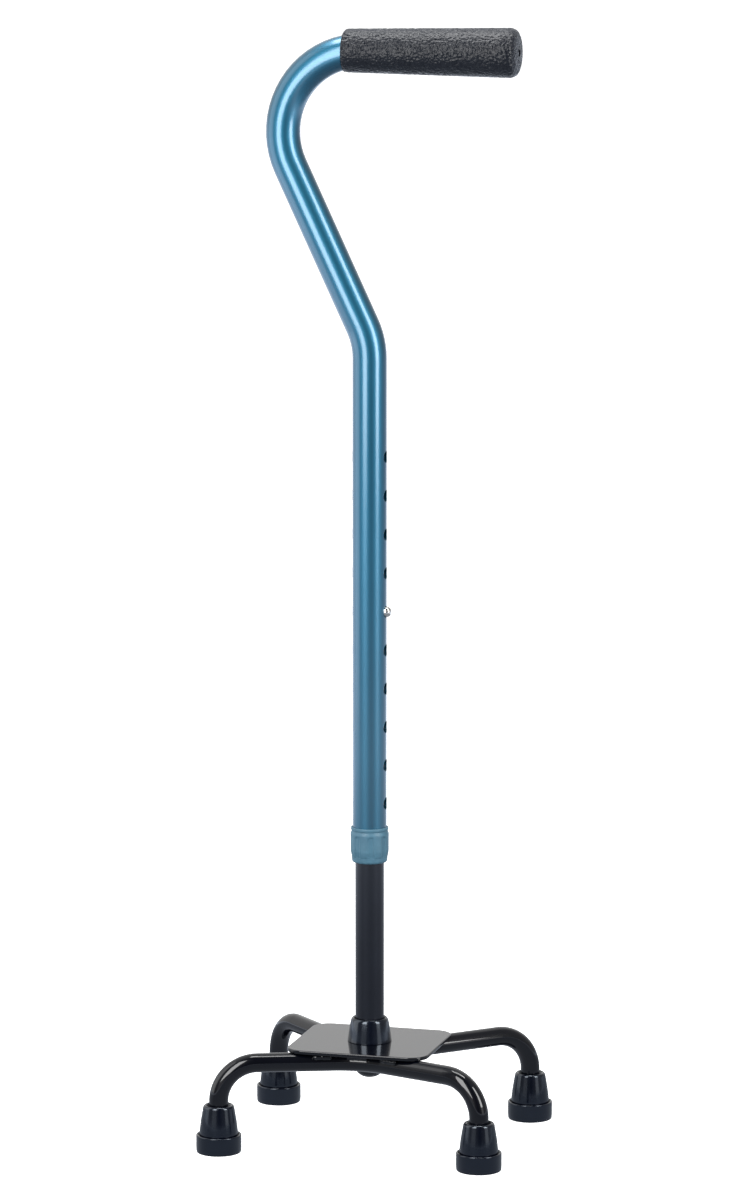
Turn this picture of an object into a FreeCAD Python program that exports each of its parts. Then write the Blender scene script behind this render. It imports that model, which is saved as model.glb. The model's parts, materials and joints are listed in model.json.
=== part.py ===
import FreeCAD, Part
import math
import os

# Quad walking cane, in millimetres.
# The origin is on the floor, at the centre of the four feet. +Z is up, the
# handle points along +X, and the shaft stands nearer to the front pair of
# feet, the pair on the -Y side.

Vector = FreeCAD.Vector
UP = Vector(0, 0, 1)
EAST = Vector(1, 0, 0)

# ---- driving dimensions -------------------------------------------------

# feet and shaft positions
FOOT_X = 88.0
FOOT_Y = 70.0
SHAFT_Y = -16.5
SHAFT = Vector(0, SHAFT_Y, 0)

# handle tube: 7/8 inch aluminium, bent twice
HANDLE_R = 11.1
HANDLE_WALL = 1.4
HANDLE_BORE_R = HANDLE_R - HANDLE_WALL
HANDLE_END_Z = 199.0
OFFSET_CORNER_Z = 531.3
OFFSET_ANGLE = 25.3
OFFSET_BEND_R = 48.4
GRIP_AXIS_Z = 718.5
CROOK_BEND_R = 52.7
HANDLE_END_X = 91.0

# height adjustment: ten cross-drilled holes, one inch apart
HOLE_PITCH = 25.4
HOLE_COUNT = 10
HOLE_R = 3.95
BUTTON_Z = 354.8
HOLES_ABOVE_BUTTON = 4
TOP_HOLE_Z = BUTTON_Z + HOLES_ABOVE_BUTTON * HOLE_PITCH

# grip: slightly tapered foam sleeve with a closed, rounded end
GRIP_MOUTH_X = -16.6
GRIP_END_X = 99.0
GRIP_MOUTH_R = 14.15
GRIP_BUTT_R = 16.15
GRIP_MOUTH_ROUND = 2.4
GRIP_BUTT_ROUND = 5.5
GRIP_FACE_R = 9.6
GRIP_FACE_DOME = 0.9
GRIP_VENT_R = 2.2

# lower tube: 3/4 inch aluminium
LOWER_R = 9.45
LOWER_WALL = 1.2
LOWER_BORE_R = LOWER_R - LOWER_WALL
LOWER_END_Z = 50.0
LOWER_TOP_Z = 380.0

# snap button and its V-shaped leaf spring
RUNNING_GAP = 0.05
BUTTON_R = 3.5
BUTTON_TIP_X = 14.4
BUTTON_DOME = 2.2
BUTTON_FLANGE_R = 4.5
BUTTON_FLANGE_BACK_X = 5.4
BUTTON_FLANGE_FRONT_X = 6.6
SPRING_THICK = 0.6
SPRING_WIDTH = 8.0
SPRING_DROP = 42.0
SPRING_ARM_X = 5.0
SPRING_WALL_X = -6.8
SPRING_FLAT = 7.0
SPRING_BEND_R = 2.4

# lock nut and the split collet ring inside it
NUT_BOTTOM_Z = 188.5
NUT_TOP_Z = 212.0
NUT_R = 12.6
NUT_LIP_R = 12.25
NUT_LIP_BOTTOM_Z = 210.2
NUT_LIP_CHAMFER = 0.5
NUT_GROOVE_R = 11.95
NUT_GROOVE_TOP_Z = 209.8
NUT_GROOVE_BOTTOM_Z = 209.2
NUT_SHOULDER_R = 12.45
NUT_SHOULDER_Z = 208.4
NUT_BODY_TOP_Z = 207.4
NUT_BODY_BOTTOM_Z = 195.7
NUT_STEP_R = 11.95
NUT_STEP_Z = 192.7
NUT_FOOT_R = 11.6
NUT_FOOT_TOP_Z = 192.5
NUT_FOOT_CHAMFER = 0.9
NUT_SEAT_Z = 189.8
NUT_SEAT_R = 10.1
NUT_CONE_TOP_Z = 198.0
NUT_MOUTH_R = LOWER_R + 0.3
NUT_BORE_R = HANDLE_R + RUNNING_GAP
FLUTE_COUNT = 8
FLUTE_R = 4.7
FLUTE_DEPTH = 0.5
FLUTE_TOP_Z = 205.2
FLUTE_PHASE = 18.6
COLLET_BOTTOM_Z = 190.1
COLLET_TOP_Z = 198.6
COLLET_TAPER_TOP_Z = 197.4
COLLET_FOOT_R = 9.95
COLLET_R = 10.85
COLLET_SLIT = 2.0

# base plate
PLATE_TOP_Z = 68.1
PLATE_THICK = 2.5
PLATE_BOTTOM_Z = PLATE_TOP_Z - PLATE_THICK
PLATE_HALF_X = 47.6
PLATE_HALF_Y = 40.6
PLATE_CORNER_R = 12.0
PLATE_EDGE_ROUND = 0.8

# hub: sleeve through the plate, cross pin, end plug and rubber boot
SLEEVE_R = 11.1
SLEEVE_BOTTOM_Z = 54.0
SLEEVE_TOP_Z = 79.5
PIN_R = 2.0
PIN_Z = 75.0
PLUG_BOTTOM_Z = 43.6
PLUG_STEM_TOP_Z = 60.0
PLUG_RIM_Z = 49.2
BOOT_BOTTOM_R = 14.6
BOOT_WAIST_Z = 79.4
BOOT_WAIST_R = 12.8
BOOT_SHOULDER_Z = 82.3
BOOT_SHOULDER_R = 12.2
BOOT_TOP_Z = 84.0
BOOT_TOP_R = 11.0
BOOT_LIP_DROP = 0.35
BOOT_LIP_INSET = 0.45
BOOT_MOUTH_Z = 82.2
BOOT_STEP_Z = 80.0

# legs: two 1/2 inch steel tubes under the plate, each bent into a wide V
LEG_R = 6.35
LEG_WALL = 1.5
LEG_Z = PLATE_BOTTOM_Z - LEG_R
LEG_END_Z = 7.0
LEG_DOWN_BEND_R = 25.4
LEG_V_BEND_R = 50.8
FRONT_CORNER_Y = SHAFT_Y - 21.0
REAR_CORNER_Y = SHAFT_Y - 1.0

# rubber tips and the steel washer inside each
TIP_FLANGE_R = 14.9
TIP_FLANGE_Z = 12.0
TIP_SHELF_R = 13.8
TIP_GROOVE_Z = 10.9
TIP_CONE_R = 12.95
TIP_NECK_R = 10.5
TIP_NECK_Z = 28.0
TIP_TOP_Z = 31.8
TIP_LIP_R = 8.2
TIP_LIP_DROP = 0.9
TIP_LIP_INSET = 0.8
TIP_SOLE_ROUND = 0.7
TIP_FLANGE_ROUND = 0.4
TIP_MOUTH_Z = 29.0
TREAD_GROOVE_OUT_R = 10.5
TREAD_GROOVE_IN_R = 8.0
TREAD_GROOVE_DEPTH = 1.5
WASHER_THICK = 1.4
WASHER_R = 6.2

# welds
RING_WELD = 3.0
BOOT_WELD = 1.8
BEAD_R = 2.2
BEAD_OFFSET = 5.7
BEAD_DROP = 2.0
BEAD_HALF_ANGLE = 9.0
REAR_BEAD_ANGLE = 32.0
SPOT_X = 26.0
SPOT_HALF_LENGTH = 4.5


# ---- helpers ------------------------------------------------------------

def revolved(points, centre=SHAFT, axis=UP):
    """Solid turned from (radius, height) points about an axis through centre.

    A point with a third value starts an arc: it is the middle of the arc that
    ends at the next point.
    """
    across = EAST if axis == UP else UP
    places = [centre + across * p[0] + axis * p[1] for p in points]
    edges = []
    index = 0
    while index < len(points):
        ahead = (index + 1) % len(points)
        if len(points[ahead]) == 3:
            end = (index + 2) % len(points)
            edges.append(Part.Arc(places[index], places[ahead], places[end]).toShape())
            index += 2
        else:
            edges.append(Part.LineSegment(places[index], places[ahead]).toShape())
            index += 1
    return Part.Face(Part.Wire(edges)).revolve(centre, axis, 360)


def dome_middle(radius, rim, tip):
    """Middle point of a spherical dome's arc from its rim to its tip."""
    depth = abs(tip - rim)
    ball_r = (radius ** 2 + depth ** 2) / (2 * depth)
    half = math.asin(radius / ball_r) / 2
    drop = math.copysign(ball_r * (1 - math.cos(half)), tip - rim)
    return (ball_r * math.sin(half), tip - drop, "arc")


def cylinder(radius, start, along, length):
    return Part.makeCylinder(radius, length, start, along)


def rounded_path(corners, radii):
    """Straight runs joined by tangent arcs, one radius per inner corner."""
    edges = []
    here = corners[0]
    for before, corner, after, radius in zip(corners, corners[1:], corners[2:], radii):
        come = (corner - before).normalize()
        leave = (after - corner).normalize()
        turn = come.getAngle(leave)
        reach = radius * math.tan(turn / 2)
        arc_start = corner - come * reach
        arc_end = corner + leave * reach
        inward = (leave - come).normalize()
        centre = corner + inward * (radius / math.cos(turn / 2))
        arc_middle = centre - inward * radius
        edges.append(Part.LineSegment(here, arc_start).toShape())
        edges.append(Part.Arc(arc_start, arc_middle, arc_end).toShape())
        here = arc_end
    edges.append(Part.LineSegment(here, corners[-1]).toShape())
    return Part.Wire(edges)


def swept_round(path, radius):
    """Solid rod along a path of lines and tangent arcs."""
    start = path.OrderedEdges[0]
    direction = start.tangentAt(start.FirstParameter)
    ring = Part.makeCircle(radius, start.valueAt(start.FirstParameter), direction)
    return path.makePipeShell([Part.Wire([ring])], True, False)


def tube(corners, radii, outer_r, wall):
    path = rounded_path(corners, radii)
    return swept_round(path, outer_r).cut(swept_round(path, outer_r - wall))


def save(node, shape):
    shape.removeSplitter().exportStep("parts/" + node + ".step")


# ---- handle -------------------------------------------------------------

def handle_corners():
    rise = GRIP_AXIS_Z - OFFSET_CORNER_Z
    back = rise * math.tan(math.radians(OFFSET_ANGLE))
    return [
        SHAFT + Vector(0, 0, HANDLE_END_Z),
        SHAFT + Vector(0, 0, OFFSET_CORNER_Z),
        SHAFT + Vector(-back, 0, GRIP_AXIS_Z),
        SHAFT + Vector(HANDLE_END_X, 0, GRIP_AXIS_Z),
    ]


def handle_path():
    return rounded_path(handle_corners(), [OFFSET_BEND_R, CROOK_BEND_R])


def make_handle_tube():
    shape = tube(handle_corners(), [OFFSET_BEND_R, CROOK_BEND_R], HANDLE_R, HANDLE_WALL)
    for index in range(HOLE_COUNT):
        height = TOP_HOLE_Z - index * HOLE_PITCH
        start = SHAFT + Vector(-2 * HANDLE_R, 0, height)
        shape = shape.cut(cylinder(HOLE_R, start, EAST, 4 * HANDLE_R))
    return shape


def make_grip():
    """Tapered sleeve: rounded mouth, rounded butt with a slightly domed face."""
    centre = SHAFT + Vector(0, 0, GRIP_AXIS_Z)
    face_x = GRIP_END_X - GRIP_FACE_DOME
    butt_x = face_x - GRIP_BUTT_ROUND
    knee = math.sqrt(0.5)
    knee_r = GRIP_FACE_R + (GRIP_BUTT_R - GRIP_FACE_R) * knee
    knee_x = butt_x + GRIP_BUTT_ROUND * knee
    lip_r = GRIP_MOUTH_R - GRIP_MOUTH_ROUND
    lip_knee_r = lip_r + GRIP_MOUTH_ROUND * knee
    lip_knee_x = GRIP_MOUTH_X + GRIP_MOUTH_ROUND * (1 - knee)
    profile = [
        (0, GRIP_MOUTH_X),
        (lip_r, GRIP_MOUTH_X),
        (lip_knee_r, lip_knee_x, "arc"),
        (GRIP_MOUTH_R, GRIP_MOUTH_X + GRIP_MOUTH_ROUND),
        (GRIP_BUTT_R, butt_x),
        (knee_r, knee_x, "arc"),
        (GRIP_FACE_R, face_x),
        dome_middle(GRIP_FACE_R, face_x, GRIP_END_X),
        (0, GRIP_END_X),
    ]
    body = revolved(profile, centre, EAST)
    body = body.cut(swept_round(handle_path(), HANDLE_R))
    vent_start = centre + Vector(HANDLE_END_X - 1, 0, 0)
    return body.cut(cylinder(GRIP_VENT_R, vent_start, EAST, GRIP_END_X))


# ---- lock nut and collet ------------------------------------------------

def flute_cutter(angle):
    reach = NUT_R + FLUTE_R - FLUTE_DEPTH
    turn = math.radians(angle)
    foot = SHAFT + Vector(reach * math.cos(turn), reach * math.sin(turn), NUT_BOTTOM_Z)
    height = FLUTE_TOP_Z - NUT_BOTTOM_Z
    return cylinder(FLUTE_R, foot, UP, height).fuse(Part.makeSphere(FLUTE_R, foot + UP * height))


def make_lock_nut():
    profile = [
        (NUT_MOUTH_R, NUT_BOTTOM_Z),
        (NUT_FOOT_R - NUT_FOOT_CHAMFER, NUT_BOTTOM_Z),
        (NUT_FOOT_R, NUT_BOTTOM_Z + NUT_FOOT_CHAMFER),
        (NUT_FOOT_R, NUT_FOOT_TOP_Z),
        (NUT_STEP_R, NUT_STEP_Z),
        (NUT_R, NUT_BODY_BOTTOM_Z),
        (NUT_R, NUT_BODY_TOP_Z),
        (NUT_SHOULDER_R, NUT_SHOULDER_Z, "arc"),
        (NUT_GROOVE_R, NUT_GROOVE_BOTTOM_Z),
        (NUT_GROOVE_R, NUT_GROOVE_TOP_Z),
        (NUT_LIP_R, NUT_LIP_BOTTOM_Z),
        (NUT_LIP_R, NUT_TOP_Z - NUT_LIP_CHAMFER),
        (NUT_LIP_R - NUT_LIP_CHAMFER, NUT_TOP_Z),
        (NUT_BORE_R, NUT_TOP_Z),
        (NUT_BORE_R, NUT_CONE_TOP_Z),
        (NUT_SEAT_R, NUT_SEAT_Z),
        (NUT_MOUTH_R, NUT_SEAT_Z),
    ]
    nut = revolved(profile)
    for index in range(FLUTE_COUNT):
        nut = nut.cut(flute_cutter(FLUTE_PHASE + index * 360.0 / FLUTE_COUNT))
    return nut


def make_collet_ring():
    """Split nylon ring that the nut squeezes onto the lower tube."""
    bore_r = LOWER_R + RUNNING_GAP
    profile = [
        (bore_r, COLLET_BOTTOM_Z),
        (COLLET_FOOT_R, COLLET_BOTTOM_Z),
        (COLLET_R, COLLET_TAPER_TOP_Z),
        (COLLET_R, COLLET_TOP_Z),
        (bore_r, COLLET_TOP_Z),
    ]
    slit_start = SHAFT + Vector(-2 * COLLET_R, -COLLET_SLIT / 2, COLLET_BOTTOM_Z - 1)
    slit = Part.makeBox(2 * COLLET_R, COLLET_SLIT, 2 * (COLLET_TOP_Z - COLLET_BOTTOM_Z), slit_start)
    return revolved(profile).cut(slit)


# ---- lower tube, snap button and spring ---------------------------------

def pin_bore():
    return cylinder(PIN_R, SHAFT + Vector(-2 * SLEEVE_R, 0, PIN_Z), EAST, 4 * SLEEVE_R)


def make_lower_tube():
    height = LOWER_TOP_Z - LOWER_END_Z
    start = SHAFT + UP * LOWER_END_Z
    shape = cylinder(LOWER_R, start, UP, height).cut(cylinder(LOWER_BORE_R, start, UP, height))
    button_hole = cylinder(BUTTON_R + RUNNING_GAP, SHAFT + UP * BUTTON_Z, EAST, 2 * LOWER_R)
    return shape.cut(button_hole).cut(pin_bore())


def make_snap_button():
    """Domed button with the flange that keeps it inside the lower tube."""
    dome_start = BUTTON_TIP_X - BUTTON_DOME
    profile = [
        (0, BUTTON_FLANGE_BACK_X),
        (BUTTON_FLANGE_R, BUTTON_FLANGE_BACK_X),
        (BUTTON_FLANGE_R, BUTTON_FLANGE_FRONT_X),
        (BUTTON_R, BUTTON_FLANGE_FRONT_X),
        (BUTTON_R, dome_start),
        dome_middle(BUTTON_R, dome_start, BUTTON_TIP_X),
        (0, BUTTON_TIP_X),
    ]
    return revolved(profile, SHAFT + UP * BUTTON_Z, EAST)


def make_button_spring():
    """Steel strip bent into a V: one arm on the wall, one behind the button."""
    corners = [
        SHAFT + Vector(SPRING_WALL_X, 0, BUTTON_Z + SPRING_FLAT),
        SHAFT + Vector(SPRING_WALL_X, 0, BUTTON_Z - SPRING_FLAT),
        SHAFT + Vector(-SPRING_BEND_R, 0, BUTTON_Z - SPRING_DROP),
        SHAFT + Vector(SPRING_BEND_R, 0, BUTTON_Z - SPRING_DROP),
        SHAFT + Vector(SPRING_ARM_X, 0, BUTTON_Z - SPRING_FLAT),
        SHAFT + Vector(SPRING_ARM_X, 0, BUTTON_Z + SPRING_FLAT),
    ]
    radii = [20.0, SPRING_BEND_R, SPRING_BEND_R, 20.0]
    path = rounded_path(corners, radii)
    half_thick = SPRING_THICK / 2
    half_width = SPRING_WIDTH / 2
    start = corners[0]
    ring = Part.makePolygon([
        start + Vector(-half_thick, -half_width, 0),
        start + Vector(half_thick, -half_width, 0),
        start + Vector(half_thick, half_width, 0),
        start + Vector(-half_thick, half_width, 0),
        start + Vector(-half_thick, -half_width, 0),
    ])
    return path.makePipeShell([ring], True, False)


# ---- base ---------------------------------------------------------------

def make_base_plate():
    """Rounded rectangle with softened edges and a hole for the sleeve."""
    corner = SHAFT + Vector(-PLATE_HALF_X, -PLATE_HALF_Y, PLATE_BOTTOM_Z)
    slab = Part.makeBox(2 * PLATE_HALF_X, 2 * PLATE_HALF_Y, PLATE_THICK, corner)
    upright = [e for e in slab.Edges if abs(e.tangentAt(0).z) > 0.9]
    slab = slab.makeFillet(PLATE_CORNER_R, upright)
    rim = [e for e in slab.Edges if abs(e.BoundBox.ZMin - e.BoundBox.ZMax) < 0.01]
    slab = slab.makeFillet(PLATE_EDGE_ROUND, rim)
    return slab.cut(cylinder(SLEEVE_R, SHAFT, UP, 2 * PLATE_TOP_Z))


def make_hub_sleeve():
    start = SHAFT + UP * SLEEVE_BOTTOM_Z
    height = SLEEVE_TOP_Z - SLEEVE_BOTTOM_Z
    shape = cylinder(SLEEVE_R, start, UP, height).cut(cylinder(LOWER_R, start, UP, height))
    return shape.cut(pin_bore())


def make_hub_pin():
    """Pin whose flat ends stay just inside the sleeve's round surface."""
    half_length = math.sqrt(SLEEVE_R ** 2 - PIN_R ** 2)
    return cylinder(PIN_R, SHAFT + Vector(-half_length, 0, PIN_Z), EAST, 2 * half_length)


def make_hub_plug():
    """Domed plug that closes the lower end of the tube under the plate."""
    profile = [
        (0, PLUG_BOTTOM_Z),
        dome_middle(LOWER_R, PLUG_RIM_Z, PLUG_BOTTOM_Z),
        (LOWER_R, PLUG_RIM_Z),
        (LOWER_R, LOWER_END_Z),
        (LOWER_BORE_R, LOWER_END_Z),
        (LOWER_BORE_R, PLUG_STEM_TOP_Z),
        (0, PLUG_STEM_TOP_Z),
    ]
    return revolved(profile)


def make_boot():
    """Rubber boot: a cone over the sleeve, with a lip that hugs the tube."""
    weld_r = SLEEVE_R + BOOT_WELD
    profile = [
        (weld_r, PLATE_TOP_Z),
        (BOOT_BOTTOM_R, PLATE_TOP_Z),
        (BOOT_WAIST_R, BOOT_WAIST_Z),
        (BOOT_SHOULDER_R, BOOT_SHOULDER_Z),
        (BOOT_SHOULDER_R - BOOT_LIP_INSET, BOOT_TOP_Z - BOOT_LIP_DROP, "arc"),
        (BOOT_TOP_R, BOOT_TOP_Z),
        (LOWER_R, BOOT_MOUTH_Z),
        (LOWER_R, BOOT_STEP_Z),
        (SLEEVE_R, BOOT_STEP_Z),
        (SLEEVE_R, PLATE_TOP_Z + BOOT_WELD),
    ]
    return revolved(profile)


# ---- legs ---------------------------------------------------------------

def leg_corners(foot_y, corner_y):
    return [
        Vector(-FOOT_X, foot_y, LEG_END_Z),
        Vector(-FOOT_X, foot_y, LEG_Z),
        Vector(0, corner_y, LEG_Z),
        Vector(FOOT_X, foot_y, LEG_Z),
        Vector(FOOT_X, foot_y, LEG_END_Z),
    ]


def make_leg(foot_y, corner_y):
    radii = [LEG_DOWN_BEND_R, LEG_V_BEND_R, LEG_DOWN_BEND_R]
    return tube(leg_corners(foot_y, corner_y), radii, LEG_R, LEG_WALL)


def make_tip(foot):
    profile = [
        (0, 0),
        (TREAD_GROOVE_IN_R, 0),
        (TREAD_GROOVE_IN_R, TREAD_GROOVE_DEPTH),
        (TREAD_GROOVE_OUT_R, TREAD_GROOVE_DEPTH),
        (TREAD_GROOVE_OUT_R, 0),
        (TIP_FLANGE_R - TIP_SOLE_ROUND, 0),
        (TIP_FLANGE_R, TIP_SOLE_ROUND),
        (TIP_FLANGE_R, TIP_FLANGE_Z - TIP_FLANGE_ROUND),
        (TIP_FLANGE_R - TIP_FLANGE_ROUND, TIP_FLANGE_Z),
        (TIP_SHELF_R, TIP_FLANGE_Z),
        (TIP_SHELF_R, TIP_GROOVE_Z),
        (TIP_CONE_R, TIP_GROOVE_Z),
        (TIP_NECK_R, TIP_NECK_Z),
        (TIP_NECK_R - TIP_LIP_INSET, TIP_TOP_Z - TIP_LIP_DROP, "arc"),
        (TIP_LIP_R, TIP_TOP_Z),
        (LEG_R, TIP_MOUTH_Z),
        (LEG_R, LEG_END_Z - WASHER_THICK),
        (0, LEG_END_Z - WASHER_THICK),
    ]
    return revolved(profile, foot)


def make_tip_washers(feet):
    drop = UP * (LEG_END_Z - WASHER_THICK)
    return Part.makeCompound([cylinder(WASHER_R, foot + drop, UP, WASHER_THICK) for foot in feet])


# ---- welds --------------------------------------------------------------

def ring_weld(height, size, side):
    """Fillet bead round the sleeve, above (side 1) or below (-1) the plate."""
    profile = [
        (SLEEVE_R, height),
        (SLEEVE_R + size, height),
        (SLEEVE_R, height + side * size),
    ]
    return revolved(profile)


def arc_bead(corner_y, foot_y, side, middle_angle):
    """Bead beside the leg's wide bend, at an angle from the bend's middle."""
    slope = math.atan2(foot_y - corner_y, FOOT_X)
    away = math.copysign(1, slope)
    centre_y = corner_y + away * LEG_V_BEND_R / math.cos(slope)
    centre = Vector(0, centre_y, PLATE_BOTTOM_Z - BEAD_DROP)
    bead = Part.makeTorus(LEG_V_BEND_R + side * BEAD_OFFSET, BEAD_R, centre, UP,
                          -180, 180, 2 * BEAD_HALF_ANGLE)
    bead.rotate(centre, UP, -90 * away + middle_angle - BEAD_HALF_ANGLE)
    return bead


def spot_bead(corner_y, foot_y, side, along_x):
    """Short bead beside a straight stretch of the leg, with rounded ends."""
    heading = Vector(math.copysign(FOOT_X, along_x), foot_y - corner_y, 0).normalize()
    beside = Vector(-heading.y, heading.x, 0) * (side * BEAD_OFFSET)
    middle = Vector(0, corner_y, PLATE_BOTTOM_Z - BEAD_DROP) + heading * abs(along_x) + beside
    start = middle - heading * SPOT_HALF_LENGTH
    end = middle + heading * SPOT_HALF_LENGTH
    bead = cylinder(BEAD_R, start, heading, 2 * SPOT_HALF_LENGTH)
    return bead.fuse([Part.makeSphere(BEAD_R, start), Part.makeSphere(BEAD_R, end)])


def make_plate_welds(neighbours):
    """Beads on both sides of each leg tube, under the plate."""
    beads = []
    for side in (-1, 1):
        beads.append(arc_bead(FRONT_CORNER_Y, -FOOT_Y, side, 0))
        for along_x in (-SPOT_X, SPOT_X):
            beads.append(spot_bead(FRONT_CORNER_Y, -FOOT_Y, side, along_x))
        for angle in (-REAR_BEAD_ANGLE, 0, REAR_BEAD_ANGLE):
            beads.append(arc_bead(REAR_CORNER_Y, FOOT_Y, side, angle))
    trimmed = [bead.cut(neighbours) for bead in beads]
    return Part.makeCompound([piece for bead in trimmed for piece in bead.Solids])


def make_hub_welds(legs):
    under = ring_weld(PLATE_BOTTOM_Z, RING_WELD, -1).cut(legs)
    over = ring_weld(PLATE_TOP_Z, BOOT_WELD, 1)
    return Part.makeCompound(under.Solids + [over])


# ---- all pieces ---------------------------------------------------------

def main():
    os.makedirs("parts", exist_ok=True)
    save("handle_tube", make_handle_tube())
    save("grip", make_grip())
    save("lock_nut", make_lock_nut())
    save("collet_ring", make_collet_ring())
    save("lower_tube", make_lower_tube())
    save("snap_button", make_snap_button())
    save("button_spring", make_button_spring())

    plate = make_base_plate()
    front_leg = make_leg(-FOOT_Y, FRONT_CORNER_Y)
    rear_leg = make_leg(FOOT_Y, REAR_CORNER_Y)
    save("base_plate", plate)
    save("hub_sleeve", make_hub_sleeve())
    save("hub_pin", make_hub_pin())
    save("hub_plug", make_hub_plug())
    save("boot", make_boot())
    save("front_leg", front_leg)
    save("rear_leg", rear_leg)
    hub_welds = make_hub_welds([front_leg, rear_leg])
    save("hub_welds", hub_welds)
    save("plate_welds", make_plate_welds([plate, front_leg, rear_leg, hub_welds]))

    feet = []
    for depth_name, depth in (("front", -FOOT_Y), ("rear", FOOT_Y)):
        for side_name, side in (("left", -FOOT_X), ("right", FOOT_X)):
            foot = Vector(side, depth, 0)
            feet.append(foot)
            save("tip_" + depth_name + "_" + side_name, make_tip(foot))
    save("tip_washers", make_tip_washers(feet))


main()
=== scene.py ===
import json
import math

import bmesh
import bpy
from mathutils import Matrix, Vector, noise


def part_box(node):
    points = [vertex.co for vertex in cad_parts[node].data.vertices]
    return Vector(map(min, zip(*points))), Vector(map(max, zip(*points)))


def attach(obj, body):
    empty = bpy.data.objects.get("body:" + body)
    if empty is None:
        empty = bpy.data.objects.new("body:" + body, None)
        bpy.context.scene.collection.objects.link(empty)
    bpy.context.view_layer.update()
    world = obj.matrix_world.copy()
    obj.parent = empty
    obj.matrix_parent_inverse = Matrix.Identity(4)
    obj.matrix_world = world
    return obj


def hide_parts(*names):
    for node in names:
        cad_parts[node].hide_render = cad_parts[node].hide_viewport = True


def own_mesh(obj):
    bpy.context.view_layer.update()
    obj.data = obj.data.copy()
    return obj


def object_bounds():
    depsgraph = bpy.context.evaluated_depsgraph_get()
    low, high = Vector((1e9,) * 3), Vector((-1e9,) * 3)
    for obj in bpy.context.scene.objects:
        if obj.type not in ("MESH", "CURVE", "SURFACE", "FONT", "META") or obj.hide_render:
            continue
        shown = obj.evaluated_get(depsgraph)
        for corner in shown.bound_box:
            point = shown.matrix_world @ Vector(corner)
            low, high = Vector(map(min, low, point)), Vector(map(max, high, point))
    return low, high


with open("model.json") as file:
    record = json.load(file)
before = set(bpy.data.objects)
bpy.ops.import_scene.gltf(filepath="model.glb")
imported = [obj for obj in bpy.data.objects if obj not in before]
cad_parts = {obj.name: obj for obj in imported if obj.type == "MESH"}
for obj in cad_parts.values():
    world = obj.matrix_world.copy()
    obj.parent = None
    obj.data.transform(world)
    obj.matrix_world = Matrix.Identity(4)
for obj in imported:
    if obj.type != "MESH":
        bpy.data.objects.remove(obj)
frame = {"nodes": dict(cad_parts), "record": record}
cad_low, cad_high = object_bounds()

# Quad walking cane. Everything is in metres, in the frame shared with the CAD: +Z up,
# the grip points along +X, the shaft stands nearer to the front feet on the -Y side.

MM = 0.001
NODES = frame["nodes"]

# ---- places read from the frame -----------------------------------------

shaft_low, shaft_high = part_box("lower_tube")
SHAFT_Y = (shaft_low[1] + shaft_high[1]) / 2
LOWER_R = (shaft_high[0] - shaft_low[0]) / 2
PLATE_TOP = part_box("base_plate")[1][2]

# sizes that no box gives, as in the CAD
HANDLE_R = 11.1 * MM
CROOK_BEND_R = 52.7 * MM
HOLE_R = 3.95 * MM
HOLE_PITCH = 25.4 * MM
HOLE_COUNT = 10
HOLES_ABOVE_BUTTON = 4

# degrees that the camera's side is turned from the front (-Y) towards +X
CAMERA_AZIMUTH = 15.39


# ---- mesh helpers -------------------------------------------------------

def rounded(points, steps=5):
    """Outline of (radius, height, rounding) points with each corner eased to a curve."""
    outline = []
    for index, (radius, height, rounding) in enumerate(points):
        here = Vector((radius, height))
        if rounding == 0 or index in (0, len(points) - 1):
            outline.append(here)
            continue
        before = Vector(points[index - 1][:2]) - here
        after = Vector(points[index + 1][:2]) - here
        reach = min(rounding, before.length * 0.49, after.length * 0.49)
        start = here + before.normalized() * reach
        end = here + after.normalized() * reach
        for step in range(steps + 1):
            t = step / steps
            outline.append(start * (1 - t) ** 2 + here * 2 * t * (1 - t) + end * t ** 2)
    return outline


def refined(outline, longest):
    """The same outline with no run longer than the given length."""
    result = [outline[0]]
    for before, after in zip(outline, outline[1:]):
        count = max(1, math.ceil((after - before).length / longest))
        for step in range(1, count + 1):
            result.append(before.lerp(after, step / count))
    return result


def add_to_scene(name, data):
    """New object in the scene for a mesh, a light or a camera."""
    thing = bpy.data.objects.new(name, data)
    bpy.context.scene.collection.objects.link(thing)
    return thing


def mesh_object(name, verts, faces, material):
    mesh = bpy.data.meshes.new(name)
    mesh.from_pydata(verts, [], faces)
    mesh.polygons.foreach_set("use_smooth", [True] * len(faces))
    mesh.materials.append(material)
    mesh.update()
    return add_to_scene(name, mesh)


def loft(name, rings, material, closed=False):
    """Skin over rings of points. A ring of one point closes that end."""
    verts = [point for ring in rings for point in ring]
    starts = [0]
    for ring in rings:
        starts.append(starts[-1] + len(ring))
    pairs = [(index, index + 1) for index in range(len(rings) - 1)]
    if closed:
        pairs.append((len(rings) - 1, 0))
    faces = []
    for lower, upper in pairs:
        low, high = starts[lower], starts[upper]
        size = max(len(rings[lower]), len(rings[upper]))
        for here in range(size):
            ahead = (here + 1) % size
            if len(rings[lower]) == 1:
                faces.append((low, high + ahead, high + here))
            elif len(rings[upper]) == 1:
                faces.append((low + here, low + ahead, high))
            else:
                faces.append((low + here, low + ahead, high + ahead, high + here))
    return mesh_object(name, verts, faces, material)


def lathe(name, outline, material, place, segments=96):
    """Turned piece. place(radius, height, angle) gives each point in the frame.

    An outline that starts or ends on the axis is closed there by one point.
    """
    rings = []
    for point in outline:
        if point.x == 0:
            rings.append([place(0, point.y, 0)])
            continue
        turns = [2 * math.pi * segment / segments for segment in range(segments)]
        rings.append([place(point.x, point.y, turn) for turn in turns])
    return loft(name, rings, material)


def upright(centre_x, centre_y):
    """Placing function for a piece turned about a vertical axis."""
    def place(radius, height, angle):
        return (centre_x + radius * math.cos(angle), centre_y + radius * math.sin(angle), height)
    return place


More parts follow.
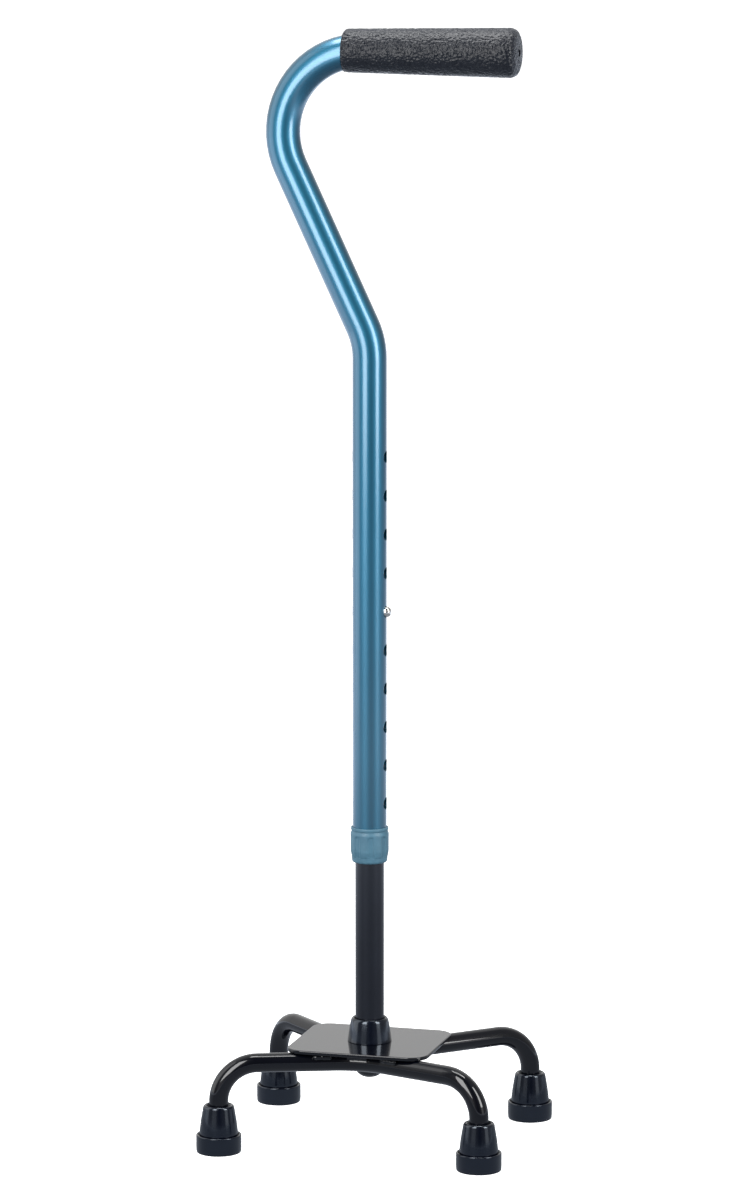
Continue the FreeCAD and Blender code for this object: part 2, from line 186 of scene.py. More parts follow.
def level(centre_y, centre_z):
    """Placing function for a piece turned about an axis along X."""
    def place(radius, along, angle):
        return (along, centre_y + radius * math.sin(angle), centre_z + radius * math.cos(angle))
    return place


def show(piece, body):
    """Gives a new piece the body it rides on."""
    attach(piece, body)
    return piece


# ---- material helpers ---------------------------------------------------

class Nodes:
    """Short calls for building one material's node tree."""

    def __init__(self, name):
        self.material = bpy.data.materials.new(name)
        self.material.use_nodes = True
        self.tree = self.material.node_tree
        self.shader = self.tree.nodes["Principled BSDF"]
        self.point = self.add("ShaderNodeTexCoord").outputs["Object"]

    def add(self, kind, **values):
        node = self.tree.nodes.new(kind)
        for key, value in values.items():
            setattr(node, key, value)
        return node

    def link(self, source, target):
        self.tree.links.new(source, target)

    def set(self, **values):
        for key, value in values.items():
            self.shader.inputs[key.replace("_", " ")].default_value = value

    def colour(self, value, stops):
        """Base colour from a ramp over a texture value."""
        self.link(self.ramp(value, stops), self.shader.inputs["Base Color"])

    def roughness(self, value, low, high):
        self.link(self.span(value, low, high), self.shader.inputs["Roughness"])

    def scaled(self, scale):
        node = self.add("ShaderNodeMapping")
        node.inputs["Scale"].default_value = scale
        self.link(self.point, node.inputs["Vector"])
        return node.outputs["Vector"]

    def noise(self, scale, detail=3.0, rough=0.5, stretch=None):
        node = self.add("ShaderNodeTexNoise")
        node.inputs["Scale"].default_value = scale
        node.inputs["Detail"].default_value = detail
        node.inputs["Roughness"].default_value = rough
        self.link(self.scaled(stretch) if stretch else self.point, node.inputs["Vector"])
        return node.outputs["Fac"]

    def cells(self, scale, smooth=0.5):
        node = self.add("ShaderNodeTexVoronoi", feature="SMOOTH_F1")
        node.inputs["Scale"].default_value = scale
        node.inputs["Smoothness"].default_value = smooth
        self.link(self.point, node.inputs["Vector"])
        return node.outputs["Distance"]

    def ramp(self, value, stops):
        node = self.add("ShaderNodeValToRGB")
        elements = node.color_ramp.elements
        while len(elements) < len(stops):
            elements.new(0.5)
        for element, (position, colour) in zip(elements, stops):
            element.position = position
            element.color = (*colour, 1.0)
        self.link(value, node.inputs["Fac"])
        return node.outputs["Color"]

    def span(self, value, low, high):
        node = self.add("ShaderNodeMapRange")
        node.inputs["To Min"].default_value = low
        node.inputs["To Max"].default_value = high
        self.link(value, node.inputs["Value"])
        return node.outputs["Result"]

    def mix(self, a, b, share):
        """Weighted sum of two texture values."""
        node = self.add("ShaderNodeMix")
        node.inputs["Factor"].default_value = share
        self.link(a, node.inputs["A"])
        self.link(b, node.inputs["B"])
        return node.outputs["Result"]

    def bump(self, height, depth):
        node = self.add("ShaderNodeBump")
        node.inputs["Distance"].default_value = depth
        self.link(height, node.inputs["Height"])
        self.link(node.outputs["Normal"], self.shader.inputs["Normal"])


# ---- materials, one per slot --------------------------------------------

def anodised_blue():
    """Satin blue anodised aluminium: dyed metal under a clear oxide layer."""
    n = Nodes("anodised_blue")
    n.set(Metallic=1.0, Coat_Weight=1.0, Coat_Roughness=0.19, Coat_IOR=1.6)
    clouds = n.noise(9.0, 4.0)
    n.colour(clouds, [(0.3, (0.012, 0.112, 0.190)), (0.7, (0.018, 0.130, 0.215))])
    lines = n.noise(1.0, 2.0, stretch=(2600.0, 2600.0, 30.0))
    n.roughness(lines, 0.40, 0.48)
    n.bump(lines, 0.004 * MM)
    return n.material


def anodised_black():
    """Satin black anodised aluminium with faint lengthwise rub marks."""
    n = Nodes("anodised_black")
    n.set(Metallic=0.7, Coat_Weight=0.8, Coat_Roughness=0.16)
    clouds = n.noise(40.0, 4.0)
    n.colour(clouds, [(0.3, (0.006, 0.008, 0.015)), (0.7, (0.009, 0.012, 0.021))])
    lines = n.noise(1.0, 3.0, stretch=(1800.0, 1800.0, 14.0))
    n.roughness(lines, 0.26, 0.36)
    n.bump(lines, 0.005 * MM)
    return n.material


def grip_foam():
    """Moulded black foam skin with a fine grain of cells and pores and a faint sheen."""
    n = Nodes("grip_foam")
    n.set(Specular_IOR_Level=0.24, Sheen_Weight=0.12, Sheen_Roughness=0.45,
          Sheen_Tint=(0.75, 0.8, 0.9, 1.0))
    clouds = n.noise(60.0, 4.0)
    n.colour(clouds, [(0.3, (0.003, 0.004, 0.007)), (0.7, (0.006, 0.0075, 0.011))])
    pores = n.noise(2600.0, 2.0)
    n.roughness(pores, 0.20, 0.34)
    n.bump(n.mix(n.cells(640.0, 0.15), pores, 0.12), 0.42 * MM)
    return n.material


def nut_plastic():
    """Grey-blue moulded nylon with a fine spark-eroded texture."""
    n = Nodes("nut_plastic")
    n.set(Specular_IOR_Level=0.5)
    clouds = n.noise(120.0, 4.0)
    n.colour(clouds, [(0.3, (0.054, 0.142, 0.203)), (0.7, (0.070, 0.172, 0.238))])
    grain = n.noise(3200.0, 2.0)
    n.roughness(grain, 0.36, 0.52)
    n.bump(grain, 0.03 * MM)
    return n.material


def black_enamel():
    """High-gloss black paint with the faint orange peel of a sprayed finish."""
    n = Nodes("black_enamel")
    n.set(Roughness=0.25, Specular_IOR_Level=0.05, Coat_Weight=1.0, Coat_Roughness=0.04)
    clouds = n.noise(30.0, 3.0)
    n.colour(clouds, [(0.3, (0.0010, 0.0014, 0.0034)), (0.7, (0.0018, 0.0024, 0.0050))])
    n.bump(n.noise(420.0, 2.0), 0.012 * MM)
    return n.material


def black_rubber():
    """Moulded rubber, semi-gloss, with slight bloom and fine mould texture."""
    n = Nodes("black_rubber")
    n.set(Specular_IOR_Level=0.6, Specular_Tint=(0.75, 0.87, 1.0, 1.0),
          Coat_Weight=0.25, Coat_Roughness=0.06)
    bloom = n.noise(90.0, 5.0, 0.6)
    n.colour(bloom, [(0.35, (0.0010, 0.0019, 0.0060)), (0.75, (0.0024, 0.0038, 0.0095))])
    n.roughness(bloom, 0.10, 0.20)
    n.bump(n.noise(1500.0, 3.0), 0.02 * MM)
    return n.material


def nickel():
    """Bright nickel plate with fine polishing marks."""
    n = Nodes("nickel")
    n.set(Metallic=1.0)
    marks = n.noise(900.0, 3.0)
    n.colour(marks, [(0.3, (0.70, 0.68, 0.64)), (0.7, (0.80, 0.78, 0.74))])
    n.roughness(marks, 0.06, 0.16)
    n.bump(marks, 0.006 * MM)
    return n.material


def spring_steel():
    """Plain rolled steel with lengthwise rolling lines."""
    n = Nodes("spring_steel")
    n.set(Metallic=1.0)
    lines = n.noise(1.0, 3.0, stretch=(2200.0, 2200.0, 60.0))
    n.colour(lines, [(0.3, (0.30, 0.31, 0.33)), (0.7, (0.46, 0.47, 0.49))])
    n.roughness(lines, 0.22, 0.42)
    n.bump(lines, 0.008 * MM)
    return n.material


def collet_nylon():
    """Natural nylon, slightly translucent cream."""
    n = Nodes("collet_nylon")
    n.set(Subsurface_Weight=0.15, Subsurface_Scale=2 * MM)
    clouds = n.noise(150.0, 3.0)
    n.colour(clouds, [(0.3, (0.62, 0.60, 0.52)), (0.7, (0.70, 0.68, 0.60))])
    n.roughness(clouds, 0.35, 0.5)
    n.bump(n.noise(1600.0, 2.0), 0.02 * MM)
    return n.material


def plug_plastic():
    """Moulded black plastic with a soft shine."""
    n = Nodes("plug_plastic")
    clouds = n.noise(200.0, 3.0)
    n.colour(clouds, [(0.3, (0.007, 0.008, 0.012)), (0.7, (0.012, 0.013, 0.018))])
    n.roughness(clouds, 0.22, 0.34)
    n.bump(n.noise(1800.0, 2.0), 0.01 * MM)
    return n.material


MAKERS = (anodised_blue, anodised_black, grip_foam, nut_plastic, black_enamel,
          black_rubber, nickel, spring_steel, collet_nylon, plug_plastic)
MATERIALS = {maker.__name__: maker() for maker in MAKERS}


def dress_cad_nodes():
    """Every CAD node gets the finish of its material slot."""
    for entry in frame["record"]["subparts"]:
        node = NODES[entry["node"]]
        for material_slot in node.material_slots:
            material_slot.material = MATERIALS[entry["material_slot"]]


# ---- handle -------------------------------------------------------------

def make_grip():
    """Tapered foam sleeve with real pebbles, an open mouth and a vent hole."""
    low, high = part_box("grip")
    mouth_x = low[0]
    end_x = high[0]
    axis_z = (low[2] + high[2]) / 2
    butt_r = (high[2] - low[2]) / 2
    mouth_r = 14.15 * MM
    bore_r = HANDLE_R + 0.05 * MM
    vent_r = 2.2 * MM
    crook_end_x = -5.4 * MM
    # pebbles to the metre along and across the grip, their height and how fast they fall off
    pebbles = Vector((430.0, 640.0, 640.0))
    pebble_height = 0.40 * MM
    pebble_fall = 1.7
    # slow change of the height from place to place: its scale, mean and swing
    swell_scale = 150
    swell_mean = 0.8
    swell_swing = 0.6
    outline = rounded([
        (bore_r, mouth_x + 7 * MM, 0),
        (bore_r + 0.3 * MM, mouth_x, 0.4 * MM),
        (mouth_r - 1.2 * MM, mouth_x + 0.2 * MM, 1.0 * MM),
        (mouth_r - 0.2 * MM, mouth_x + 1.2 * MM, 1.0 * MM),
        (mouth_r, mouth_x + 2.6 * MM, 1.0 * MM),
        (butt_r, end_x - 0.8 * MM, 6.2 * MM),
        (vent_r + 0.2 * MM, end_x, 0.4 * MM),
        (vent_r, end_x - 5 * MM, 0),
        (0, end_x - 5 * MM, 0),
    ], 8)
    outline = refined(outline, 0.46 * MM)

    def place(radius, along, angle):
        outward = Vector((0, math.sin(angle), math.cos(angle)))
        point = Vector((along, SHAFT_Y, axis_z)) + outward * radius
        if radius < mouth_r - 1.5 * MM and along < crook_end_x:
            past = crook_end_x - along
            point.z -= CROOK_BEND_R - math.sqrt(CROOK_BEND_R ** 2 - past ** 2)
            return point
        if radius > vent_r * 1.6:
            away = noise.voronoi(point * pebbles)[0][0]
            dome = max(0.0, 1 - pebble_fall * away ** 2)
            swell = swell_mean + swell_swing * noise.noise(point * swell_scale)
            if along > end_x - 2 * MM:
                outward = Vector((1, 0, 0))
            point -= outward * pebble_height * (1 - dome) * swell
        return point

    grip = lathe("grip_sleeve", outline, MATERIALS["grip_foam"], place, 250)
    show(grip, "handle")
    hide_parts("grip")


def make_hole_edge(name, side, height):
    """Slightly raised edge left round one adjustment hole by the drill."""
    burr_r = 0.2 * MM
    sunk = 0.1 * MM
    turns = 40
    ring_points = 8
    rings = []
    for turn in range(turns):
        angle = 2 * math.pi * turn / turns
        across = HOLE_R * math.cos(angle)
        out = math.sqrt((HANDLE_R - sunk) ** 2 - across ** 2)
        middle = Vector((side * out, SHAFT_Y + across, height + HOLE_R * math.sin(angle)))
        outward = Vector((side * out, across, 0)).normalized()
        inward = Vector((0, -math.cos(angle), -math.sin(angle)))
        ring = []
        for step in range(ring_points):
            around = 2 * math.pi * step / ring_points
            ring.append(middle + (outward * math.cos(around) + inward * math.sin(around)) * burr_r)
        rings.append(ring)
    show(loft(name, rings, MATERIALS["anodised_blue"], closed=True), "handle")


def make_hole_edges():
    """Edges of the holes down each side, placed from the button, which is in one of them."""
    low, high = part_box("snap_button")
    top = (low[2] + high[2]) / 2 + HOLES_ABOVE_BUTTON * HOLE_PITCH
    for index in range(HOLE_COUNT):
        for side_name, side in (("left", -1), ("right", 1)):
            name = "hole_edge_" + side_name + "_" + str(index + 1)
            make_hole_edge(name, side, top - index * HOLE_PITCH)


def make_snap_button():
    """Domed button with a soft edge and the flange that holds it in the tube."""
    low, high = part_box("snap_button")
    flange_r = (high[2] - low[2]) / 2
    stem_r = 3.5 * MM
    outline = rounded([
        (0, low[0], 0),
        (flange_r, low[0], 0.2 * MM),
        (flange_r, low[0] + 1.2 * MM, 0.2 * MM),
        (stem_r, low[0] + 1.2 * MM, 0),
        (stem_r, high[0] - 2.2 * MM, 0.8 * MM),
        (2.6 * MM, high[0] - 0.6 * MM, 1.0 * MM),
        (1.2 * MM, high[0], 0.8 * MM),
        (0, high[0], 0),
    ], 7)
    place = level((low[1] + high[1]) / 2, (low[2] + high[2]) / 2)
    button = lathe("domed_snap_button", outline, MATERIALS["nickel"], place, 56)
    show(button, "button")
    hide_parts("snap_button")


def make_leaf_spring():
    """V-shaped leaf behind the button, copied unchanged from the CAD spring; the real leaf closes as
    the button goes in.
    """
    mesh = NODES["button_spring"].data.copy()
    mesh.materials.clear()
    mesh.materials.append(MATERIALS["spring_steel"])
    spring = add_to_scene("leaf_spring", mesh)
    show(spring, "base")
    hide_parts("button_spring")
    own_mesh(spring)


# ---- lock nut -----------------------------------------------------------

def make_lock_nut():
    """Nut with eight shallow recesses between wide ribs, lip and foot ring."""
    low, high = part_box("lock_nut")
    bottom = low[2]
    top = high[2]
    body_r = (high[0] - low[0]) / 2
    bore_r = HANDLE_R + 0.07 * MM
    mouth_r = LOWER_R + 0.3 * MM
    recess_count = 8
    recess_phase = math.radians(18.6)
    recess_half = math.radians(9.5)
    recess_depth = 0.55 * MM
    # only the skin outside this radius has recesses
    recess_skin_r = 11.8 * MM
    # how far each recess takes to reach its depth: share of its half width, top, foot
    side_fade = 0.30
    top_fade = 0.9 * MM
    foot_fade = 1.5 * MM
    recess_low = bottom + 3.2 * MM
    recess_high = top - 5.2 * MM
    outline = rounded([
        (mouth_r, bottom + 1.3 * MM, 0),
        (mouth_r, bottom, 0.2 * MM),
        (10.9 * MM, bottom, 0.6 * MM),
        (11.6 * MM, bottom + 0.9 * MM, 0.5 * MM),
        (11.75 * MM, bottom + 3.8 * MM, 0.3 * MM),
        (12.0 * MM, bottom + 4.3 * MM, 0.4 * MM),
        (body_r, bottom + 7.4 * MM, 2.0 * MM),
        (body_r, top - 4.4 * MM, 1.0 * MM),
        (12.15 * MM, top - 3.2 * MM, 0.4 * MM),
        (11.85 * MM, top - 2.7 * MM, 0.25 * MM),
        (11.85 * MM, top - 2.2 * MM, 0.2 * MM),
        (12.3 * MM, top - 1.9 * MM, 0.3 * MM),
        (12.3 * MM, top - 0.3 * MM, 0.5 * MM),
        (11.6 * MM, top, 0.3 * MM),
        (bore_r, top, 0.2 * MM),
        (bore_r, top - 3 * MM, 0),
    ], 5)
    outline = refined(outline, 0.45 * MM)
    around = upright((low[0] + high[0]) / 2, SHAFT_Y)

    def place(radius, height, angle):
        period = 2 * math.pi / recess_count
        offset = (angle - recess_phase + period / 2) % period - period / 2
        across = offset / recess_half
        round_top = 1 - math.sqrt(max(0.0, 1 - across ** 2))
        inside = recess_high - height - recess_half * body_r * round_top
        if radius > recess_skin_r and abs(across) < 1 and height > recess_low and inside > 0:
            edge = min(1.0, (1 - abs(across)) / side_fade)
            end = min(1.0, inside / top_fade, (height - recess_low) / foot_fade)
            fade = math.sin(edge * math.pi / 2) * math.sin(end * math.pi / 2)
            radius -= recess_depth * fade
        return around(radius, height, angle)

    nut = lathe("fluted_lock_nut", outline, MATERIALS["nut_plastic"], place, 288)
    show(nut, "nut")
    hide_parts("lock_nut")


# ---- base plate, plug and welds -----------------------------------------

def rounded_rectangle(low, high, corner_r, inset, height, corner_steps=14):
    """Ring of points, corner by corner, moved inwards by the inset."""
    ring = []
    reach_x = (high[0] - low[0]) / 2 - corner_r
    reach_y = (high[1] - low[1]) / 2 - corner_r
    middle_x = (high[0] + low[0]) / 2
    middle_y = (high[1] + low[1]) / 2
    for quarter in range(4):
        sign_x = 1 if quarter in (0, 3) else -1
        sign_y = 1 if quarter in (0, 1) else -1
        for step in range(corner_steps + 1):
            angle = math.pi / 2 * (quarter + step / corner_steps)
            ring.append((middle_x + sign_x * reach_x + (corner_r - inset) * math.cos(angle),
                         middle_y + sign_y * reach_y + (corner_r - inset) * math.sin(angle),
                         height))
    return ring


def make_base_plate():
    """Pressed steel plate with a rolled edge and a hole for the sleeve."""
    low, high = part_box("base_plate")
    corner_r = 12.0 * MM
    edge_r = 0.8 * MM
    sleeve_low, sleeve_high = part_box("hub_sleeve")
    hole_r = (sleeve_high[0] - sleeve_low[0]) / 2
    profile = rounded([
        (0.5 * corner_r, low[2], 0),
        (2 * edge_r, low[2], 0),
        (0, low[2], edge_r),
        (0, high[2], edge_r),
        (2 * edge_r, high[2], 0),
        (0.5 * corner_r, high[2], 0),
    ], 8)
    rings = [rounded_rectangle(low, high, corner_r, inset, height) for inset, height in profile]
    for radius, height in ((hole_r + edge_r, high[2]), (hole_r, high[2]),
                           (hole_r, low[2]), (hole_r + edge_r, low[2])):
        hole = []
        for point in rings[0]:
            away = Vector((point[0], point[1] - SHAFT_Y)).normalized() * radius
            hole.append((away.x, SHAFT_Y + away.y, height))
        rings.append(hole)
    plate = loft("pressed_base_plate", rings, MATERIALS["black_enamel"], closed=True)
    show(plate, "base")
    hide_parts("base_plate")


def make_hub_plug():
    """Domed end plug under the plate, with a small gate mark sunk at its middle."""
    low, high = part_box("hub_plug")
    rim_z = low[2] + 5.6 * MM
    outline = rounded([
        (0, low[2] + 0.3 * MM, 0),
        (1.3 * MM, low[2], 0.3 * MM),
        (4.8 * MM, low[2] + 0.5 * MM, 2.0 * MM),
        (8.2 * MM, low[2] + 2.8 * MM, 2.4 * MM),
        (LOWER_R, rim_z, 0.8 * MM),
        (LOWER_R, rim_z + 0.8 * MM, 0.1 * MM),
        (LOWER_R - 1.2 * MM, rim_z + 0.8 * MM, 0),
        (LOWER_R - 1.2 * MM, high[2], 0.3 * MM),
        (0, high[2], 0),
    ], 7)
    plug = lathe("domed_hub_plug", outline, MATERIALS["plug_plastic"], upright(0, SHAFT_Y), 72)
    show(plug, "base")
    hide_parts("hub_plug")


def make_welds(node):
    """Weld beads with the ripples of the torch, under the same paint as the base."""
    voxel = 0.35 * MM
    ripple = 0.32 * MM
    coarse_scale = 420
    fine_scale = 1100
    shape = bmesh.new()
    shape.from_mesh(NODES[node].data)
    bmesh.ops.remove_doubles(shape, verts=shape.verts, dist=0.01 * MM)
    mesh = bpy.data.meshes.new(node + "_source")
    shape.to_mesh(mesh)
    shape.free()
    source = add_to_scene(node + "_source", mesh)
    remesh = source.modifiers.new("remesh", "REMESH")
    remesh.mode = "VOXEL"
    remesh.voxel_size = voxel
    solid = source.evaluated_get(bpy.context.evaluated_depsgraph_get())
    beads = bpy.data.meshes.new_from_object(solid)
    bpy.data.objects.remove(source)
    normals = [vertex.normal.copy() for vertex in beads.vertices]
    for vertex, normal in zip(beads.vertices, normals):
        coarse = noise.noise(vertex.co * coarse_scale)
        fine = noise.noise(vertex.co * fine_scale)
        vertex.co += normal * ripple * (coarse + 0.5 * fine)
    beads.name = node + "_beads"
    beads.polygons.foreach_set("use_smooth", [True] * len(beads.polygons))
    beads.materials.clear()
    beads.materials.append(MATERIALS["black_enamel"])
    piece = add_to_scene(node + "_beads", beads)
    show(piece, "base")
    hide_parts(node)


# ---- rubber pieces ------------------------------------------------------

def make_tip(node):
    """Ferrule with a rounded lip, a cone, a groove and a flange with a tread."""
    low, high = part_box(node)
    centre = upright((low[0] + high[0]) / 2, (low[1] + high[1]) / 2)
    flange_r = (high[0] - low[0]) / 2
    outline = rounded([
        (0, 0, 0),
        (4.0 * MM, 0, 0.3 * MM),
        (4.4 * MM, 1.2 * MM, 0.3 * MM),
        (5.8 * MM, 1.2 * MM, 0.3 * MM),
        (6.2 * MM, 0, 0.3 * MM),
        (8.2 * MM, 0, 0.3 * MM),
        (8.6 * MM, 1.4 * MM, 0.3 * MM),
        (10.3 * MM, 1.4 * MM, 0.3 * MM),
        (10.7 * MM, 0, 0.3 * MM),
        (flange_r - 0.3 * MM, 0, 0.9 * MM),
        (flange_r, 3 * MM, 1.0 * MM),
        (flange_r, 12.0 * MM, 0.9 * MM),
        (13.6 * MM, 12.0 * MM, 0.5 * MM),
        (13.2 * MM, 10.5 * MM, 0.2 * MM),
        (12.5 * MM, 10.5 * MM, 0.2 * MM),
        (12.8 * MM, 12.6 * MM, 1.0 * MM),
        (12.0 * MM, 20.0 * MM, 4.0 * MM),
        (10.5 * MM, 28.6 * MM, 3.0 * MM),
        (10.1 * MM, high[2] - 0.9 * MM, 1.2 * MM),
        (8.9 * MM, high[2], 1.2 * MM),
        (7.9 * MM, high[2] - 0.6 * MM, 0.8 * MM),
        (6.9 * MM, high[2] - 2.4 * MM, 0.6 * MM),
        (6.45 * MM, 28.0 * MM, 0.3 * MM),
        (6.4 * MM, 25.0 * MM, 0),
    ], 5)
    tip = lathe(node + "_ferrule", refined(outline, 1.5 * MM), MATERIALS["black_rubber"], centre, 112)
    show(tip, "base")
    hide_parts(node)


def make_boot():
    """Cone that hides the tube's socket, with a rounded lip round the tube."""
    low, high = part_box("boot")
    top = high[2]
    outline = rounded([
        (13.4 * MM, PLATE_TOP + 0.4 * MM, 0),
        (13.4 * MM, PLATE_TOP, 0.2 * MM),
        ((high[0] - low[0]) / 2, PLATE_TOP, 0.5 * MM),
        (13.3 * MM, top - 6.5 * MM, 4.0 * MM),
        (12.3 * MM, top - 1.3 * MM, 1.4 * MM),
        (11.2 * MM, top, 1.2 * MM),
        (10.3 * MM, top - 0.6 * MM, 0.7 * MM),
        (9.55 * MM, top - 2.8 * MM, 0.4 * MM),
        (9.5 * MM, top - 5 * MM, 0),
    ], 6)
    boot = lathe("hub_boot", refined(outline, 1.5 * MM), MATERIALS["black_rubber"],
                 upright(0, SHAFT_Y), 112)
    show(boot, "base")
    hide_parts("boot")


# ---- studio -------------------------------------------------------------

# level of the room by angle to the right of the view, then by sine of elevation
ROOM_ROUND = [(-180, 1.0), (-120, 1.0), (-76, 0.9), (-66, 0.30), (-45, 0.30), (-16, 0.20),
              (5, 0.06), (30, 0.20), (74, 0.38), (125, 0.45), (150, 1.0), (180, 1.0)]
ROOM_UP = [(0.0, 0.72), (0.28, 0.84), (0.5, 0.8), (0.8, 0.75), (1.0, 0.5)]

# what the cane reflects of the floor, by distance from the cane: a pool of light, and
# the share of the room's level that takes over far away
FLOOR_REACH = 4.0
FLOOR_POOL = [(0.0, 0.27), (0.45, 0.21), (0.85, 0.24), (1.25, 0.95), (1.7, 0.55),
              (2.4, 0.04), (3.0, 0.0)]
FLOOR_FAR = [(0.0, 0.0), (1.1, 0.1), (2.6, 1.0)]
POOL_BY_ROOM = 0.25
POOL_ALONE = 1.35
FLOOR_TINT = (0.90, 0.98, 1.12, 1.0)

# own light of the floor as the camera sees it, and half the floor's width
FLOOR_GLOW = 0.86
FLOOR_HALF = 40.0

# upright soft boxes, all at one distance from the frame's vertical axis: name, degrees to
# the right of the view, low edge, high edge, width, radiance
SOFT_BOX_DISTANCE = 1.25
SOFT_BOXES = [
    ("left_box", -32, 0.30, 1.90, 0.60, 7.8),
    ("right_box", 52, 0.30, 1.70, 0.46, 9.2),
    ("left_low_box", -32, 0.02, 0.30, 0.60, 0.3),
    ("right_low_box", 52, 0.02, 0.30, 0.46, 0.9),
    ("side_box", -92, 0.05, 1.90, 0.80, 1.0),
]

# the panel over the grip looks straight down
TOP_PANEL_PLACE = Vector((0.04, SHAFT_Y, 1.02))
TOP_PANEL_LENGTH = 0.50
TOP_PANEL_WIDTH = 0.20
TOP_PANEL_RADIANCE = 9.5

# the photographer's camera, solved from the photo
CAMERA_PLACE = (0.9201, -3.3590, 0.9081)
CAMERA_TILT = 81.05
CAMERA_LENS = 161.65
CAMERA_SENSOR = 36.0
CAMERA_SHIFT_X = 0.00103


def turned(degrees, distance, height):
    """Point round the frame's vertical axis, degrees to the right of the camera's side."""
    turn = math.radians(CAMERA_AZIMUTH + degrees)
    return Vector((distance * math.sin(turn), -distance * math.cos(turn), height))


def panel_light(name, place, facing, width, height, radiance):
    """Rectangular light of even radiance that looks the way it faces."""
    data = bpy.data.lights.new(name, "AREA")
    data.shape = "RECTANGLE"
    data.size = width
    data.size_y = height
    data.energy = radiance * math.pi * width * height
    light = add_to_scene(name, data)
    light.location = place
    light.rotation_euler = facing.to_track_quat("-Z", "Y").to_euler()
    light.visible_camera = False


def soft_box(name, degrees, low, high, width, radiance):
    """Upright panel that faces the frame's vertical axis."""
    place = turned(degrees, SOFT_BOX_DISTANCE, (low + high) / 2)
    panel_light(name, place, Vector((-place.x, -place.y, 0)), width, high - low, radiance)


class Studio(Nodes):
    """Node calls for the world and the floor, which share the room's levels."""

    def __init__(self, tree, place):
        self.tree = tree
        self.point = self.add("ShaderNodeTexCoord").outputs[place]

    def math(self, operation, *values):
        node = self.add("ShaderNodeMath", operation=operation)
        for socket, value in zip(node.inputs, values):
            if isinstance(value, (int, float)):
                socket.default_value = value
            else:
                self.link(value, socket)
        return node.outputs[0]

    def along(self, axis):
        node = self.add("ShaderNodeVectorMath", operation="DOT_PRODUCT")
        node.inputs[1].default_value = axis
        self.link(self.point, node.inputs[0])
        return node.outputs["Value"]

    def levels(self, value, stops):
        """Smooth grey ramp from (position, level) stops."""
        output = self.ramp(value, [(position, (grey, grey, grey)) for position, grey in stops])
        output.node.color_ramp.interpolation = "EASE"
        return output

    def room_round(self):
        """Level of the room in the direction of the point, white behind and dark in front."""
        angle = self.math("ARCTAN2", self.along(turned(90, 1, 0)), self.along(turned(0, 1, 0)))
        share = self.math("MULTIPLY_ADD", angle, 0.5 / math.pi, 0.5)
        return self.levels(share, [(degrees / 360 + 0.5, grey) for degrees, grey in ROOM_ROUND])

    def seen(self):
        return self.add("ShaderNodeLightPath").outputs["Is Camera Ray"]


def make_room():
    """World that is white behind the cane and dark in front, as in a studio."""
    world = bpy.data.worlds.new("studio")
    bpy.context.scene.world = world
    world.use_nodes = True
    n = Studio(world.node_tree, "Generated")
    glow = n.math("MULTIPLY", n.room_round(), n.levels(n.along((0, 0, 1)), ROOM_UP))
    background = world.node_tree.nodes["Background"]
    background.inputs["Color"].default_value = (1, 1, 1, 1)
    n.link(n.math("MAXIMUM", glow, n.seen()), background.inputs["Strength"])


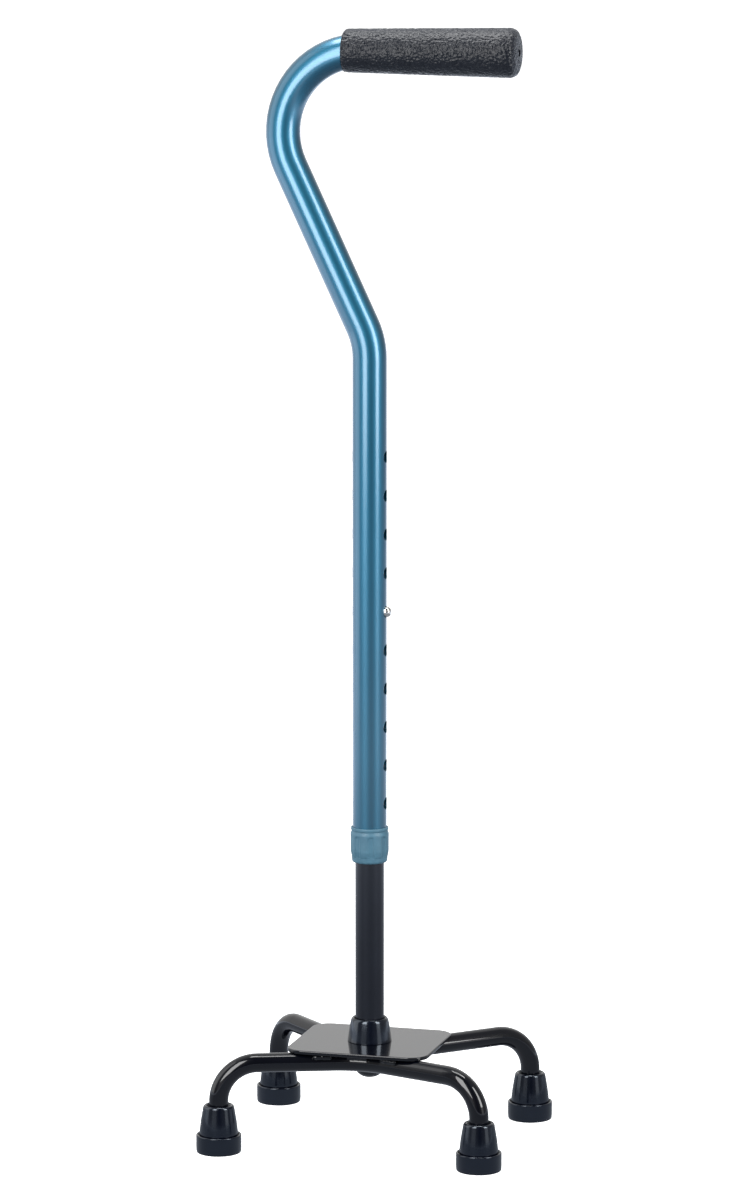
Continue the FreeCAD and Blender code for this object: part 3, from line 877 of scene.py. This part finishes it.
def make_floor():
    """White floor to the camera. The cane reflects a pool of light in a darker floor."""
    material = bpy.data.materials.new("studio_floor")
    material.use_nodes = True
    n = Studio(material.node_tree, "Object")
    shader = n.tree.nodes["Principled BSDF"]
    shader.inputs["Base Color"].default_value = (0.9, 0.9, 0.9, 1)
    shader.inputs["Roughness"].default_value = 0.9
    shader.inputs["Specular IOR Level"].default_value = 0
    shader.inputs["Emission Color"].default_value = (1, 1, 1, 1)
    shader.inputs["Emission Strength"].default_value = FLOOR_GLOW
    length = n.add("ShaderNodeVectorMath", operation="LENGTH")
    n.link(n.point, length.inputs[0])
    reach = n.math("DIVIDE", length.outputs["Value"], FLOOR_REACH)
    pool = n.levels(reach, [(metres / FLOOR_REACH, grey) for metres, grey in FLOOR_POOL])
    room = n.room_round()
    lit = n.math("MULTIPLY", pool, n.math("MULTIPLY_ADD", room, POOL_BY_ROOM, POOL_ALONE))
    far = n.levels(reach, [(metres / FLOOR_REACH, grey) for metres, grey in FLOOR_FAR])
    radiance = n.math("MULTIPLY_ADD", room, far, lit)
    glow = n.add("ShaderNodeEmission")
    glow.inputs["Color"].default_value = FLOOR_TINT
    n.link(radiance, glow.inputs["Strength"])
    mixed = n.add("ShaderNodeMixShader")
    n.link(n.seen(), mixed.inputs["Fac"])
    n.link(glow.outputs["Emission"], mixed.inputs[1])
    n.link(shader.outputs["BSDF"], mixed.inputs[2])
    n.link(mixed.outputs["Shader"], n.tree.nodes["Material Output"].inputs["Surface"])
    corners = [(-FLOOR_HALF, -FLOOR_HALF, 0), (FLOOR_HALF, -FLOOR_HALF, 0),
               (FLOOR_HALF, FLOOR_HALF, 0), (-FLOOR_HALF, FLOOR_HALF, 0)]
    floor = mesh_object("studio_floor", corners, [(0, 1, 2, 3)], material)
    floor.location.z = cad_low[2]


def make_camera():
    """Camera at the photographer's place."""
    data = bpy.data.cameras.new("camera")
    data.sensor_width = CAMERA_SENSOR
    data.lens = CAMERA_LENS
    data.shift_x = CAMERA_SHIFT_X
    data.clip_end = 5 * FLOOR_HALF
    camera = add_to_scene("camera", data)
    camera.location = CAMERA_PLACE
    camera.rotation_euler = (math.radians(CAMERA_TILT), 0, math.radians(CAMERA_AZIMUTH))
    bpy.context.scene.camera = camera


def make_lights():
    """The soft boxes round the cane and the panel over its grip."""
    for soft_box_values in SOFT_BOXES:
        soft_box(*soft_box_values)
    panel_light("top_panel", TOP_PANEL_PLACE, Vector((0, 0, -1)), TOP_PANEL_LENGTH,
                TOP_PANEL_WIDTH, TOP_PANEL_RADIANCE)


# ---- the whole scene ----------------------------------------------------

bpy.context.scene.view_settings.view_transform = "Standard"
make_camera()
make_room()
make_floor()
make_lights()
dress_cad_nodes()
make_grip()
make_hole_edges()
make_snap_button()
make_leaf_spring()
make_lock_nut()
make_base_plate()
make_hub_plug()
make_welds("plate_welds")
make_welds("hub_welds")
for node_name in NODES:
    if node_name.startswith("tip_") and node_name != "tip_washers":
        make_tip(node_name)
make_boot()

bpy.context.view_layer.update()
